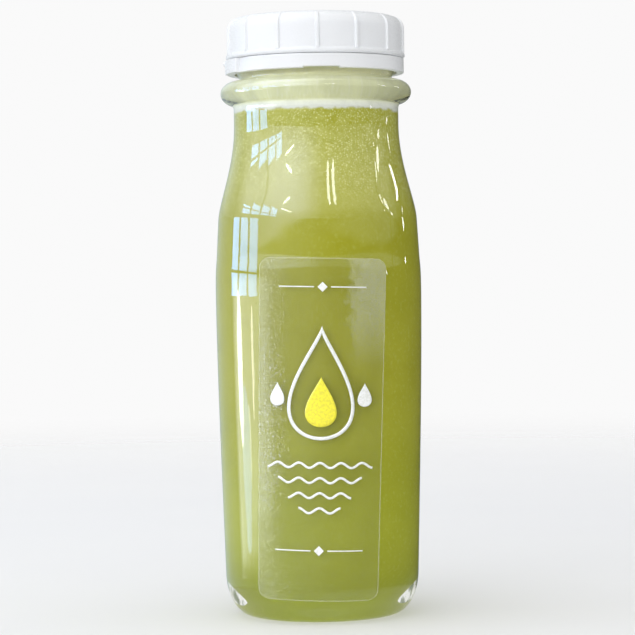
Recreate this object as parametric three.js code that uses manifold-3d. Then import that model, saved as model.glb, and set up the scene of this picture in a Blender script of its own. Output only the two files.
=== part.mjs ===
// A filled glass juice bottle with a ribbed screw cap, a tear band and a clear film label.
// Millimetres, +Z up. The origin is the middle of the foot and the label faces -Y.
import * as THREE from 'three';
import { mergeVertices } from 'three/addons/utils/BufferGeometryUtils.js';
import Module from 'manifold-3d';

// Glass body: outer radii and heights
const FOOT_RADIUS = 22.1;
const FOOT_RING_WIDTH = 2.2;
const PUNT_RADIUS = 17;
const PUNT_EDGE_HEIGHT = 1.1;
const PUNT_HEIGHT = 2.6;
const HEEL_RADIUS = 29.75;
const HEEL_HEIGHT = 13;
const BODY_MIDDLE = [31.2, 65];
const BODY_WIDEST = [31.7, 99.5];
const BODY_WAIST = [31.2, 111];
const BODY_TOP = [30.6, 121.5];
const SHOULDER_PULL_LOW = [30.25, 127.5];
const SHOULDER_PULL_HIGH = [25.2, 138.5];
const NECK_RADIUS = 25.35;
const NECK_HEIGHT = 151;
const WALL = 2;

// Inside of the base: thick glass, with a wide round heel and a floor that rises a little to its middle
const FLOOR_RADIUS = 6.5;
const FLOOR_HEIGHT = 6.2;
const FLOOR_RISE = 0.6;
const INNER_HEEL_HEIGHT = 27;

// Glass neck: transfer bead, groove, locking ring and threaded finish
const BEAD_RADIUS = 29.35;
const BEAD_HEIGHT = 160.3;
const BEAD_HALF_HEIGHT = 3.7;
const BEAD_FILLET = 0.6;
const GROOVE_RADIUS = 23.3;
const GROOVE_HEIGHT = 164.9;
const COLLAR_RADIUS = 24.6;
const COLLAR_HEIGHT = 166.8;
const LOCK_RADIUS = 26;
const LOCK_LOW = 167.7;
const LOCK_HIGH = 168.3;
const FINISH_RADIUS = 24.35;
const FINISH_FOOT = 169.2;
const LIP_HEIGHT = 180.6;
const LIP_ROUND = 1.2;
const BORE_RADIUS = 20.6;
const BORE_FOOT = 164;
const INNER_NECK_HEIGHT = 156.5;

// Four-start screw thread shared by the glass and the cap
const THREAD_STARTS = 4;
const THREAD_LEAD = 14;
const GLASS_THREAD = { radius: 24.35, section: 0.95, height: 174.2, sweep: 100 };
const CAP_THREAD = { radius: 25.6, section: 0.85, height: 172.45, sweep: 80 };

// Juice and film label
const JUICE_LEVEL = 154;
const JUICE_GAP = 0.3;
const LABEL_LOW = 7.2;
const LABEL_HIGH = 109.4;
const LABEL_TOP_WIDTH = 37.9;
const LABEL_FOOT_WIDTH = 35.8;
const LABEL_CORNER = 3.3;
const LABEL_TILT = 1.6;
const LABEL_GAP = 0.15;
const LABEL_FILM = 0.2;

// Cap: shell, grip ribs, flange and the lip that reaches down behind the tear band
const CAP_RADIUS = 27.15;
const CAP_HEIGHT = 183.4;
const CAP_CORNER = 4;
const CAP_TOP_THICKNESS = 1.5;
const CAP_INNER_RADIUS = 25.65;
const CAP_INNER_CORNER = 0.8;
const FLANGE_RADIUS = 27.55;
const FLANGE_LOW = 171.1;
const FLANGE_HIGH = 171.9;
const FLANGE_EDGE = 0.2;
const CAP_LIP_RADIUS = 26.05;
const CAP_LIP_LOW = 169.7;
const RIBS = 14;
const RIB_WIDTH = 1.1;
const RIB_PROUD = 0.6;
const RIB_ROOT = 0.7;
const RIB_FIRST_ANGLE = 1.5;

// Seal liner
const LINER_RADIUS = 24.6;
const LINER_LOW = 180.9;
const LINER_THICKNESS = 0.7;

// Tear band, with angles measured from the front towards +X
const BAND_RADIUS = 27.2;
const BAND_INNER_RADIUS = 26.35;
const BAND_LOW = 166.1;
const BAND_HIGH = 170.4;
const BAND_EDGE = 0.25;
const HOOK_RADIUS = 25;
const HOOK_EDGE = 0.45;
const HOOK_HEIGHT = 1.4;
const NOTCH = { from: -8, to: 16, height: 0.4 };
const TAB = { from: -88, to: -60, proud: 0.5, low: 166.3, high: 170.2 };
const TAB_RECESS = { from: -60, to: -50, depth: 0.45 };
const NIB = { angle: -92, radius: 27.7, height: 169.75, reach: 1.35, width: 1.5, tall: 1 };

// Facets round each turned piece and along each curve
const GLASS_SEGMENTS = 48;
const CAP_SEGMENTS = RIBS * 4;
const FACETS = { heel: 5, innerHeel: 6, body: 8, shoulder: 7, throat: 4, bead: 7, lip: 2, capCorner: 4 };
const ROUND_FACETS = { labelCorner: 3, rib: 2, thread: 4, block: 4 };
const THREAD_STEPS = 8;
const NIB_FACETS = [8, 6];

// A shallow dome keeps this share of its rise at half its radius.
const DOME_SHARE = 0.75;
// The bead's curve starts this share of a quarter turn below its widest point.
const BEAD_START = 0.75;
// Cutting blocks reach this far past what they cut.
const CUT_MARGIN = 1;
const QUARTER = Math.PI / 2;
const MERGE_DISTANCE = 1e-4;

const wasm = await Module();
wasm.setup();

// Points along a plane curve of radius and height, as [radius, height] pairs.
function along(curve, divisions) {
  return curve.getPoints(divisions).map((point) => [point.x, point.y]);
}

// A curve between the first and last of four [radius, height] anchors, pulled towards the other two.
function bezier(anchors) {
  return new THREE.CubicBezierCurve(...anchors.map((anchor) => new THREE.Vector2(...anchor)));
}

// Points along an elliptical arc in the plane of radius and height, with angles in radians.
function arc(radius, height, wide, tall, from, to, divisions) {
  return along(new THREE.EllipseCurve(radius, height, wide, tall, from, to, to < from), divisions);
}

// A profile turned about the upright axis.
function turned(profile, segments) {
  const points = profile.map(([radius, height]) => new THREE.Vector2(radius, height));
  return new THREE.LatheGeometry(points, segments).rotateX(QUARTER);
}

// A profile whose last point returns to its first, turned into a ring.
function turnedRing(profile, segments) {
  return turned([...profile, profile[0]], segments);
}

// A closed geometry as a solid, with the collapsed triangles on the axis left out.
function solidFrom(geometry) {
  const bare = geometry.clone();
  bare.deleteAttribute('normal');
  bare.deleteAttribute('uv');
  const merged = mergeVertices(bare, MERGE_DISTANCE);
  const index = merged.index.array;
  const triangles = [];
  for (let i = 0; i < index.length; i += 3) {
    const [a, b, c] = [index[i], index[i + 1], index[i + 2]];
    if (a !== b && b !== c && c !== a) triangles.push(a, b, c);
  }
  const vertProperties = new Float32Array(merged.attributes.position.array);
  const triVerts = new Uint32Array(triangles);
  return new wasm.Manifold(new wasm.Mesh({ numProp: 3, vertProperties, triVerts }));
}

// A solid as a geometry with flat shading.
function geometryFrom(solid) {
  const mesh = solid.getMesh();
  const geometry = new THREE.BufferGeometry();
  geometry.setAttribute('position', new THREE.BufferAttribute(new Float32Array(mesh.vertProperties), 3));
  geometry.setIndex(new THREE.BufferAttribute(new Uint32Array(mesh.triVerts), 1));
  geometry.computeVertexNormals();
  return geometry;
}

// A mesh for one sub-part.
function part(name, geometry, look) {
  const mesh = new THREE.Mesh(geometry, new THREE.MeshStandardMaterial(look));
  mesh.name = name;
  return mesh;
}

// The path of one thread ridge, rising as it turns.
class ThreadPath extends THREE.Curve {
  constructor(thread, startAngle) {
    super();
    this.thread = thread;
    this.startAngle = startAngle;
  }

  getPoint(t, target = new THREE.Vector3()) {
    const turn = THREE.MathUtils.degToRad(this.thread.sweep) * t;
    const angle = this.startAngle + turn;
    const rise = (THREAD_LEAD * turn) / (2 * Math.PI);
    const { radius, height } = this.thread;
    return target.set(radius * Math.cos(angle), radius * Math.sin(angle), height + rise);
  }
}

// The ridges of a thread, one for each start.
function threadRidges(thread) {
  const section = new THREE.Shape().absarc(0, 0, thread.section, 0, 2 * Math.PI);
  return Array.from({ length: THREAD_STARTS }, (_, start) => {
    const extrudePath = new ThreadPath(thread, (2 * Math.PI * start) / THREAD_STARTS);
    const ridge = { steps: THREAD_STEPS, curveSegments: ROUND_FACETS.thread, bevelEnabled: false };
    return solidFrom(new THREE.ExtrudeGeometry(section, { ...ridge, extrudePath }));
  });
}

// A block that follows the cap's round, between two angles measured from the front towards +X.
function ringBlock(inner, outer, low, high, from, to) {
  const start = THREE.MathUtils.degToRad(from) - QUARTER;
  const end = THREE.MathUtils.degToRad(to) - QUARTER;
  const shape = new THREE.Shape();
  shape.absarc(0, 0, outer, start, end, false);
  shape.absarc(0, 0, inner, end, start, true);
  const block = { depth: high - low, curveSegments: ROUND_FACETS.block, bevelEnabled: false };
  return solidFrom(new THREE.ExtrudeGeometry(shape, block).translate(0, 0, low));
}

// The outer wall from the heel to the top of the body, which the label also follows.
function bodyWall() {
  const anchors = [[HEEL_RADIUS, HEEL_HEIGHT], BODY_MIDDLE, BODY_WIDEST, BODY_WAIST, BODY_TOP];
  return along(new THREE.SplineCurve(anchors.map((anchor) => new THREE.Vector2(...anchor))), FACETS.body);
}

function shoulderWall() {
  const anchors = [BODY_TOP, SHOULDER_PULL_LOW, SHOULDER_PULL_HIGH, [NECK_RADIUS, NECK_HEIGHT]];
  return along(bezier(anchors), FACETS.shoulder);
}

function heelWall() {
  const wide = HEEL_RADIUS - FOOT_RADIUS;
  return arc(FOOT_RADIUS, HEEL_HEIGHT, wide, HEEL_HEIGHT, -QUARTER, 0, FACETS.heel);
}

// The inner wall from the middle of the floor up to the neck, moved in by a gap for the juice.
function innerWall(gap) {
  const heelWide = HEEL_RADIUS - WALL - FLOOR_RADIUS - gap;
  const heelTall = INNER_HEEL_HEIGHT - FLOOR_HEIGHT - gap;
  const shift = ([radius, height]) => [radius - WALL - gap, height];
  return [
    [0, FLOOR_HEIGHT + FLOOR_RISE + gap],
    [FLOOR_RADIUS / 2, FLOOR_HEIGHT + FLOOR_RISE * DOME_SHARE + gap],
    ...arc(FLOOR_RADIUS, INNER_HEEL_HEIGHT, heelWide, heelTall, -QUARTER, 0, FACETS.innerHeel),
    ...bodyWall().slice(1).map(shift),
    ...shoulderWall().slice(1).map(shift),
  ];
}

function beadWall() {
  const root = NECK_RADIUS - BEAD_FILLET;
  const foot = BEAD_HEIGHT - BEAD_HALF_HEIGHT;
  const start = -QUARTER * BEAD_START;
  return [
    [NECK_RADIUS, foot - BEAD_FILLET],
    [NECK_RADIUS + BEAD_FILLET / 2, foot],
    ...arc(root, BEAD_HEIGHT, BEAD_RADIUS - root, BEAD_HALF_HEIGHT, start, QUARTER, FACETS.bead),
  ];
}

// The inside of the neck, where it narrows smoothly from the body's wall to the mouth.
function throatWall() {
  const inner = NECK_RADIUS - WALL;
  const middle = (BORE_FOOT + INNER_NECK_HEIGHT) / 2;
  const mouth = [[BORE_RADIUS, BORE_FOOT], [BORE_RADIUS, middle]];
  const neck = [[inner, middle], [inner, INNER_NECK_HEIGHT]];
  return along(bezier([...mouth, ...neck]), FACETS.throat);
}

function finishWall() {
  const lipOuter = FINISH_RADIUS - LIP_ROUND;
  const lipInner = BORE_RADIUS + LIP_ROUND;
  const lipCentre = LIP_HEIGHT - LIP_ROUND;
  return [
    [GROOVE_RADIUS, GROOVE_HEIGHT],
    [COLLAR_RADIUS, COLLAR_HEIGHT],
    [LOCK_RADIUS, LOCK_LOW],
    [LOCK_RADIUS, LOCK_HIGH],
    [FINISH_RADIUS, FINISH_FOOT],
    ...arc(lipOuter, lipCentre, LIP_ROUND, LIP_ROUND, 0, QUARTER, FACETS.lip),
    ...arc(lipInner, lipCentre, LIP_ROUND, LIP_ROUND, QUARTER, 2 * QUARTER, FACETS.lip),
    ...throatWall(),
  ];
}

function glassBottle() {
  const profile = [
    [0, PUNT_HEIGHT],
    [PUNT_RADIUS / 2, THREE.MathUtils.lerp(PUNT_EDGE_HEIGHT, PUNT_HEIGHT, DOME_SHARE)],
    [PUNT_RADIUS, PUNT_EDGE_HEIGHT],
    [FOOT_RADIUS - FOOT_RING_WIDTH, 0],
    ...heelWall(),
    ...bodyWall().slice(1),
    ...shoulderWall().slice(1),
    ...beadWall(),
    ...finishWall(),
    ...innerWall(0).reverse(),
  ];
  let glass = solidFrom(turned(profile, GLASS_SEGMENTS));
  for (const ridge of threadRidges(GLASS_THREAD)) glass = glass.add(ridge);
  return geometryFrom(glass);
}

function juice() {
  const wall = innerWall(JUICE_GAP);
  const [topRadius] = wall.at(-1);
  return turned([...wall, [topRadius, JUICE_LEVEL], [0, JUICE_LEVEL]], GLASS_SEGMENTS);
}

// The film's outline seen from the front: a rounded panel, a little narrower at its foot.
function labelOutline() {
  const corner = LABEL_CORNER;
  const height = LABEL_HIGH - LABEL_LOW;
  const [top, foot] = [LABEL_TOP_WIDTH / 2, LABEL_FOOT_WIDTH / 2];
  const shape = new THREE.Shape();
  shape.absarc(foot - corner, corner - height / 2, corner, -QUARTER, 0, false);
  shape.absarc(top - corner, height / 2 - corner, corner, 0, QUARTER, false);
  shape.absarc(corner - top, height / 2 - corner, corner, QUARTER, 2 * QUARTER, false);
  shape.absarc(corner - foot, corner - height / 2, corner, 2 * QUARTER, 3 * QUARTER, false);
  return shape;
}

// A thin sleeve that follows the glass, cut to the film's outline in front.
function label() {
  const wall = [...heelWall(), ...bodyWall().slice(1)];
  const near = wall.map(([radius, height]) => [radius + LABEL_GAP, height]);
  const far = wall.map(([radius, height]) => [radius + LABEL_GAP + LABEL_FILM, height]);
  const sleeve = solidFrom(turnedRing([...far, ...near.reverse()], GLASS_SEGMENTS));
  const depth = 2 * BODY_WIDEST[0];
  const cutter = { depth, curveSegments: ROUND_FACETS.labelCorner, bevelEnabled: false };
  const outline = new THREE.ExtrudeGeometry(labelOutline(), cutter);
  outline.rotateZ(THREE.MathUtils.degToRad(-LABEL_TILT));
  outline.rotateX(QUARTER).translate(0, 0, (LABEL_HIGH + LABEL_LOW) / 2);
  return geometryFrom(sleeve.intersect(solidFrom(outline)));
}

// One grip rib: a thin plate that runs up the skirt and over the rounded shoulder.
function capRib(angle) {
  const centre = [CAP_RADIUS - CAP_CORNER, CAP_HEIGHT - CAP_CORNER];
  const outer = CAP_CORNER + RIB_PROUD;
  const inner = CAP_CORNER - RIB_ROOT;
  const shape = new THREE.Shape();
  shape.moveTo(CAP_RADIUS - RIB_ROOT, FLANGE_HIGH);
  shape.lineTo(CAP_RADIUS + RIB_PROUD, FLANGE_HIGH);
  shape.absellipse(...centre, outer, CAP_CORNER, 0, QUARTER, false, 0);
  shape.absellipse(...centre, inner, inner, QUARTER, 0, true, 0);
  const plate = { depth: RIB_WIDTH, curveSegments: ROUND_FACETS.rib, bevelEnabled: false };
  const rib = new THREE.ExtrudeGeometry(shape, plate);
  rib.translate(0, 0, -RIB_WIDTH / 2).rotateX(QUARTER).rotateZ(angle);
  return solidFrom(rib);
}

function capShell() {
  const ceiling = CAP_HEIGHT - CAP_TOP_THICKNESS;
  const corner = [CAP_RADIUS - CAP_CORNER, CAP_HEIGHT - CAP_CORNER];
  const profile = [
    [0, ceiling],
    [CAP_INNER_RADIUS - CAP_INNER_CORNER, ceiling],
    [CAP_INNER_RADIUS, ceiling - CAP_INNER_CORNER],
    [CAP_INNER_RADIUS, CAP_LIP_LOW],
    [CAP_LIP_RADIUS, CAP_LIP_LOW],
    [CAP_LIP_RADIUS, FLANGE_LOW],
    [FLANGE_RADIUS - FLANGE_EDGE, FLANGE_LOW],
    [FLANGE_RADIUS, FLANGE_LOW + FLANGE_EDGE],
    [FLANGE_RADIUS, FLANGE_HIGH],
    [CAP_RADIUS, FLANGE_HIGH + FLANGE_EDGE],
    ...arc(...corner, CAP_CORNER, CAP_CORNER, 0, QUARTER, FACETS.capCorner),
    [0, CAP_HEIGHT],
  ];
  let cap = solidFrom(turned(profile, CAP_SEGMENTS));
  for (let rib = 0; rib < RIBS; rib += 1) {
    const angle = THREE.MathUtils.degToRad(RIB_FIRST_ANGLE) - QUARTER + (2 * Math.PI * rib) / RIBS;
    cap = cap.add(capRib(angle));
  }
  for (const ridge of threadRidges(CAP_THREAD)) cap = cap.add(ridge);
  return geometryFrom(cap);
}

function sealLiner() {
  const top = LINER_LOW + LINER_THICKNESS;
  return turned([[0, LINER_LOW], [LINER_RADIUS, LINER_LOW], [LINER_RADIUS, top], [0, top]], GLASS_SEGMENTS);
}

// The small lug at the end of the pull tab.
function tabNib() {
  const angle = THREE.MathUtils.degToRad(NIB.angle) - QUARTER;
  const nib = new THREE.SphereGeometry(1, ...NIB_FACETS);
  nib.scale(NIB.reach, NIB.width, NIB.tall).translate(NIB.radius, 0, NIB.height).rotateZ(angle);
  return solidFrom(nib);
}

function tearBand() {
  const profile = [
    [BAND_RADIUS - BAND_EDGE, BAND_LOW],
    [BAND_RADIUS, BAND_LOW + BAND_EDGE],
    [BAND_RADIUS, BAND_HIGH - BAND_EDGE],
    [BAND_RADIUS - BAND_EDGE, BAND_HIGH],
    [BAND_INNER_RADIUS, BAND_HIGH],
    [BAND_INNER_RADIUS, BAND_LOW + HOOK_HEIGHT],
    [HOOK_RADIUS, BAND_LOW + HOOK_EDGE],
    [HOOK_RADIUS, BAND_LOW],
  ];
  const tabOuter = BAND_RADIUS + TAB.proud;
  const recessFloor = BAND_RADIUS - TAB_RECESS.depth;
  const below = BAND_LOW - CUT_MARGIN;
  const above = BAND_HIGH + CUT_MARGIN;
  const beyond = BAND_RADIUS + CUT_MARGIN;
  const notchTop = BAND_LOW + NOTCH.height;
  const tab = ringBlock(BAND_INNER_RADIUS + BAND_EDGE, tabOuter, TAB.low, TAB.high, TAB.from, TAB.to);
  const recess = ringBlock(recessFloor, beyond, below, above, TAB_RECESS.from, TAB_RECESS.to);
  const notch = ringBlock(HOOK_RADIUS - CUT_MARGIN, beyond, below, notchTop, NOTCH.from, NOTCH.to);
  const band = solidFrom(turnedRing(profile, CAP_SEGMENTS));
  return geometryFrom(band.subtract(recess).subtract(notch).add(tab).add(tabNib()));
}

const clearGlass = { color: 0xdfe8de, roughness: 0.05, metalness: 0, transparent: true, opacity: 0.35 };
const cloudyJuice = { color: 0xa5aa4b, roughness: 0.3, metalness: 0 };
const clearFilm = { color: 0xf2f4ea, roughness: 0.2, metalness: 0, transparent: true, opacity: 0.3 };
const whitePlastic = { color: 0xf1f2f3, roughness: 0.35, metalness: 0 };
const softLiner = { color: 0xe9e9e4, roughness: 0.6, metalness: 0 };

const bottle = new THREE.Group();
bottle.add(part('glass_bottle', glassBottle(), clearGlass));
bottle.add(part('juice', juice(), cloudyJuice));
bottle.add(part('label', label(), clearFilm));
bottle.add(part('tear_band', tearBand(), whitePlastic));
bottle.add(part('seal_liner', sealLiner(), softLiner));
bottle.add(part('cap_shell', capShell(), whitePlastic));

export default bottle;
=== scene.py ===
"""Looks for a filled glass juice bottle with a ribbed screw cap, a tear band and a clear film label.

Profiles are lists of (radius, height) in millimetres, in the part's own frame: +Z up and the label
facing -Y. Angles are measured from the front towards +X. Meshes are made in metres.
"""

import math

import bmesh
import bpy
import numpy as np
from mathutils import Matrix, Vector


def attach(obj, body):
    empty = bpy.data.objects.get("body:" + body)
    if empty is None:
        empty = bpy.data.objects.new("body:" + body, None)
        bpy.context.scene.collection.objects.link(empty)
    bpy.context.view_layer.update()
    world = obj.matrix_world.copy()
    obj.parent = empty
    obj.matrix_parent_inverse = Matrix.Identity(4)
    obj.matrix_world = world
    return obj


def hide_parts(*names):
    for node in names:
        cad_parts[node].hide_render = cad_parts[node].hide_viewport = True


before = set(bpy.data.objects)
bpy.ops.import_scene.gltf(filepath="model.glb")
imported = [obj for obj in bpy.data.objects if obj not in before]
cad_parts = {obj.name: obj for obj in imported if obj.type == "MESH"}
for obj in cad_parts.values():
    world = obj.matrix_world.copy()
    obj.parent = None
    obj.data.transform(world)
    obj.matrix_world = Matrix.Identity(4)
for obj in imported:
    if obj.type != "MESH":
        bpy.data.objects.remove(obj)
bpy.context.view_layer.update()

MM = 0.001

# Meshes: columns of points round the turned pieces, steps on a rounded corner, and distances in
# millimetres under which a point is on the axis or on a wall
GLASS_COLUMNS = 224
JUICE_COLUMNS = 160
BAND_COLUMNS = 900
LINER_COLUMNS = 96
CORNER_STEPS = 4
ON_AXIS = 1e-6
ON_WALL = 0.01

# Camera, from the photograph's framing: its rows and columns are pixels of a square frame
FRAME_PIXELS = 635
SENSOR = 36.0
VIEW_DISTANCE = 750.0
EYE_HEIGHT = 104.3
PIXELS_PER_MM = 3.2376
HORIZON_ROW = 275.0
AXIS_COLUMN = 318.9
ROLL = -0.8

# Glass body
FOOT_RADIUS = 22.1
FOOT_RING_WIDTH = 2.2
PUNT_RADIUS = 17.0
PUNT_EDGE_HEIGHT = 1.1
PUNT_HEIGHT = 2.6
HEEL_RADIUS = 29.75
HEEL_HEIGHT = 13.0
BODY_ANCHORS = [(HEEL_RADIUS, HEEL_HEIGHT), (31.2, 65), (31.7, 99.5), (31.2, 111), (30.6, 121.5)]
NECK_RADIUS = 25.35
NECK_HEIGHT = 151.0
SHOULDER_ANCHORS = [BODY_ANCHORS[-1], (30.25, 127.5), (25.2, 138.5), (NECK_RADIUS, NECK_HEIGHT)]
WALL = 2.0
FLOOR_RADIUS = 6.5
FLOOR_HEIGHT = 6.2
FLOOR_RISE = 0.6
INNER_HEEL_HEIGHT = 27.0

# Glass neck
BEAD_RADIUS = 29.35
BEAD_HEIGHT = 160.3
BEAD_HALF_HEIGHT = 3.7
BEAD_FILLET = 0.6
BEAD_ARC = (-66, 92)
GROOVE = (23.3, 164.9)
COLLAR = (24.6, 166.8)
LOCK_RADIUS = 26.0
LOCK_LOW = 167.7
LOCK_HIGH = 168.3
FINISH_RADIUS = 24.35
FINISH_FOOT = 169.2
LIP_HEIGHT = 180.6
LIP_ROUND = 1.2
BORE_RADIUS = 20.6
BORE_FOOT = 164.0
INNER_NECK_HEIGHT = 156.5

# Four-start screw thread: round of its ridges, height where a ridge starts, sweep in degrees
THREAD_STARTS = 4
THREAD_LEAD = 14.0
GLASS_THREAD = {"section": 0.95, "height": 174.2, "sweep": 100.0}
CAP_THREAD = {"section": 0.85, "height": 172.45, "sweep": 80.0}
THREAD_FADE = 5.0
THREAD_STEP = 0.22

# Juice, sunk a little into the glass that it wets, with froth in the neck and foam that clings above it.
# FROTH has the number of bubbles to a metre and the share of places that hold one. It comes in over the
# heights of FROTH_RISE, and the pale head over those of HEAD_RISE, in metres.
JUICE_LEVEL = 154.0
MENISCUS = 1.1
MENISCUS_WIDTH = 2.5
JUICE_SINK = 0.06
FROTH = [(1500.0, 0.4), (2500.0, 0.5)]
FROTH_RISE = (0.114, 0.144)
HEAD_RISE = (0.1538, 0.1548)
FOAM_TOP = 178.0
FOAM_SINK = 0.08
FOAM_THICKNESS = 0.12

# Label, as wide as it looks from the front
LABEL_LOW = 7.2
LABEL_HIGH = 109.4
LABEL_TOP_WIDTH = 37.9
LABEL_FOOT_WIDTH = 35.8
LABEL_CORNER = 3.3
LABEL_TILT = 1.6
LABEL_GAP = 0.1
LABEL_FILM = 0.08
LABEL_MIDDLE = (LABEL_LOW + LABEL_HIGH) / 2
LABEL_HALF_HEIGHT = (LABEL_HIGH - LABEL_LOW) / 2

# Print on the label: heights are from the label's middle
INK_LIFT = LABEL_FILM + 0.02
INK_THICKNESS = 0.03
WELD = 0.001
DROP = {"middle": 14.0, "height": 34.0, "width": 20.0, "line": 1.0}
DROP_POINTS = 96
CORE = {"middle": 8.4, "height": 15.0, "width": 9.4}
DROPLETS = [{"across": -13.0, "middle": 10.5, "height": 7.0, "width": 4.2},
            {"across": 13.0, "middle": 10.5, "height": 7.0, "width": 4.2}]
RIPPLES = [{"height": -10.5, "length": 31.25}, {"height": -15.0, "length": 25.0},
           {"height": -19.5, "length": 18.75}, {"height": -24.0, "length": 12.5}]
RIPPLE_WAVE = 6.25
RIPPLE_RISE = 0.75
RIPPLE_LINE = 0.7
RULES = [{"height": 42.5, "length": 26.0}, {"height": -36.0, "length": 26.0}]
RULE_LINE = 0.35
RULE_GAP = 5.0
DIAMOND = 1.5
FILL_RINGS = 8

# Cap: a rib's crest and foot are shares of its width, and it thins out over the rounded edge
CAP_RADIUS = 27.15
CAP_HEIGHT = 183.4
CAP_CORNER = 4.0
CAP_TOP_THICKNESS = 1.5
CAP_INNER_RADIUS = 25.65
CAP_INNER_CORNER = 0.8
FLANGE_RADIUS = 27.55
FLANGE_LOW = 171.1
FLANGE_HIGH = 171.9
FLANGE_UNDERCUT = (26.95, 170.52)
CAP_LIP_RADIUS = 26.05
CAP_LIP_LOW = 169.7
RIBS = 14
RIB_WIDTH = 1.1
RIB_PROUD = 0.6
RIB_FIRST_ANGLE = 1.5
RIB_CREST = 0.28
RIB_FOOT = 0.62
RIB_FADE = 0.6
RIB_LIFT = 0.35
RIB_FINE = 0.8
GATE_RADIUS = 2.4
GATE_DEPTH = 0.3
GATE_NUB_RADIUS = 0.6

# Seal liner
LINER_RADIUS = 24.6
LINER_LOW = 180.9
LINER_THICKNESS = 0.7

# Tear band
BAND_RADIUS = 27.2
BAND_INNER_RADIUS = 26.35
BAND_LOW = 166.1
BAND_HIGH = 170.4
HOOK_RADIUS = 25.0
HOOK_EDGE = 0.45
HOOK_HEIGHT = 1.4
NOTCH = {"from": -8.0, "to": 16.0, "height": 0.4}
TAB = {"from": -88.0, "to": -60.0, "proud": 0.6}
TAB_RECESS = {"from": -60.0, "to": -50.0, "depth": 0.6}
TAB_EDGE = 1.2
NOTCH_EDGE = 0.6
NIB = {"angle": -92.0, "radius": 27.7, "height": 169.75, "reach": 1.35, "width": 1.5, "tall": 1.0}

# Stage and light, in metres: GROUND is the white behind the part, and SIDES the dark that the glass
# bends into view. AMBIENT lights matt surfaces, from low and high, and the room is what the glass
# mirrors, left and right. BEAM is square to a dark beam across the ceiling, and ARCH is how far the
# ceiling comes down at its sides. A window's top runs from near_top to far_top. Streaks run between an
# angle and elevation and another.
STAGE_RADIUS = 1.2
STAGE_SIDES = 96
STAGE_DROP = 0.0001
GROUND = (0.955, 0.955, 0.955)
SIDES = (0.16, 0.2, 0.12)
AMBIENT = [(0.46, 0.46, 0.45), (0.8, 0.8, 0.8)]
ROOM_LOW = [(0.75, 0.9, 0.95), (0.06, 0.06, 0.05)]
ROOM_HIGH = [(5.6, 6.0, 7.6), (1.7, 1.75, 1.5)]
LEFT_GLOW = (4.2, 4.5, 4.7)
BEAM = (0.091, -0.884, -0.458)
ARCH = 0.055
COOL = (0.93, 0.97, 1.0)
WARM = (1.0, 0.92, 0.9)
SKY = (0.24, 0.45, 1.0)
MIDDLE = (0, 0, 0.12)
SOFT_LAMPS = [
    {"name": "overhead", "place": (-0.2, -0.2, 2.0), "size": (1.4, 1.4), "radiance": 1.0},
    {"name": "front_panel", "place": (-0.9, -2.1, 0.7), "size": (2.4, 1.25), "radiance": 2.75,
     "shows": False},
    {"name": "left_panel", "place": (-2, -0.1, 0.65), "size": (2.2, 1.1), "radiance": 0.6,
     "colour": COOL, "shows": False},
]
LEFT_WALL = -2.0
PANE = 12.0
MULLION = 0.1
WINDOWS = [
    {"near": -0.65, "far": 0.95, "columns": 3, "sill": 0.08, "rail": 0.25,
     "near_top": 0.4, "far_top": 0.4},
    {"near": -1.75, "far": 0.45, "columns": 4, "sill": 0.6, "rail": 0.78,
     "near_top": 1.15, "far_top": 0.82},
]
DOOR_PARTS = [
    {"near": 0.2, "far": 0.5, "low": -0.16, "high": 0.1, "radiance": 9.5, "colour": COOL},
    {"near": -0.42, "far": -0.3, "low": -0.13, "high": 0.06, "radiance": 6.0, "colour": WARM},
    {"near": -0.1, "far": 0.36, "low": -0.28, "high": -0.07, "radiance": 3.2, "colour": SKY},
    {"near": -0.16, "far": 0.02, "low": -0.2, "high": -0.1, "radiance": 3.5, "colour": COOL},
]
STREAK_DISTANCE = 2.0
STREAKS = [
    {"start": (14.0, 34.0), "end": (15.5, 26.0), "width": 0.1, "radiance": 10.0},
    {"start": (21.0, 34.0), "end": (22.5, 25.5), "width": 0.11, "radiance": 10.0},
    {"start": (-43.0, 26.0), "end": (-34.0, 29.0), "width": 0.05, "radiance": 14.0},
    {"start": (-45.0, 22.5), "end": (-30.0, 18.0), "width": 0.05, "radiance": 14.0},
    {"start": (84.0, 24.0), "end": (87.0, 20.0), "width": 0.05, "radiance": 8.0},
    {"start": (89.0, 22.0), "end": (93.0, 15.0), "width": 0.13, "radiance": 9.0},
    {"start": (94.0, 12.0), "end": (97.0, 8.0), "width": 0.1, "radiance": 9.0},
    {"start": (112.0, 16.8), "end": (121.0, 17.4), "width": 0.05, "radiance": 12.0},
    {"start": (120.0, 13.0), "end": (116.5, 8.0), "width": 0.035, "radiance": 11.0},
    {"start": (114.0, 5.2), "end": (117.0, 4.4), "width": 0.03, "radiance": 9.0},
    {"start": (81.0, 3.6), "end": (82.5, 2.2), "width": 0.04, "radiance": 11.0},
    {"start": (84.5, 15.2), "end": (86.5, 14.2), "width": 0.05, "radiance": 11.0},
]


# Curves in the plane of radius and height

def arc(centre, wide, tall, start, end, steps):
    """Points on an ellipse from one angle to another, in degrees."""
    angles = np.radians(np.linspace(start, end, steps + 1))
    return [(centre[0] + wide * math.cos(a), centre[1] + tall * math.sin(a)) for a in angles]


def bezier(anchors, steps):
    """Points on a cubic curve from the first to the last of four anchors."""
    p = np.array(anchors, float)
    t = np.linspace(0, 1, steps + 1)[:, None]
    curve = ((1 - t) ** 3 * p[0] + 3 * t * (1 - t) ** 2 * p[1]
             + 3 * t ** 2 * (1 - t) * p[2] + t ** 3 * p[3])
    return [tuple(point) for point in curve]


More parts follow.
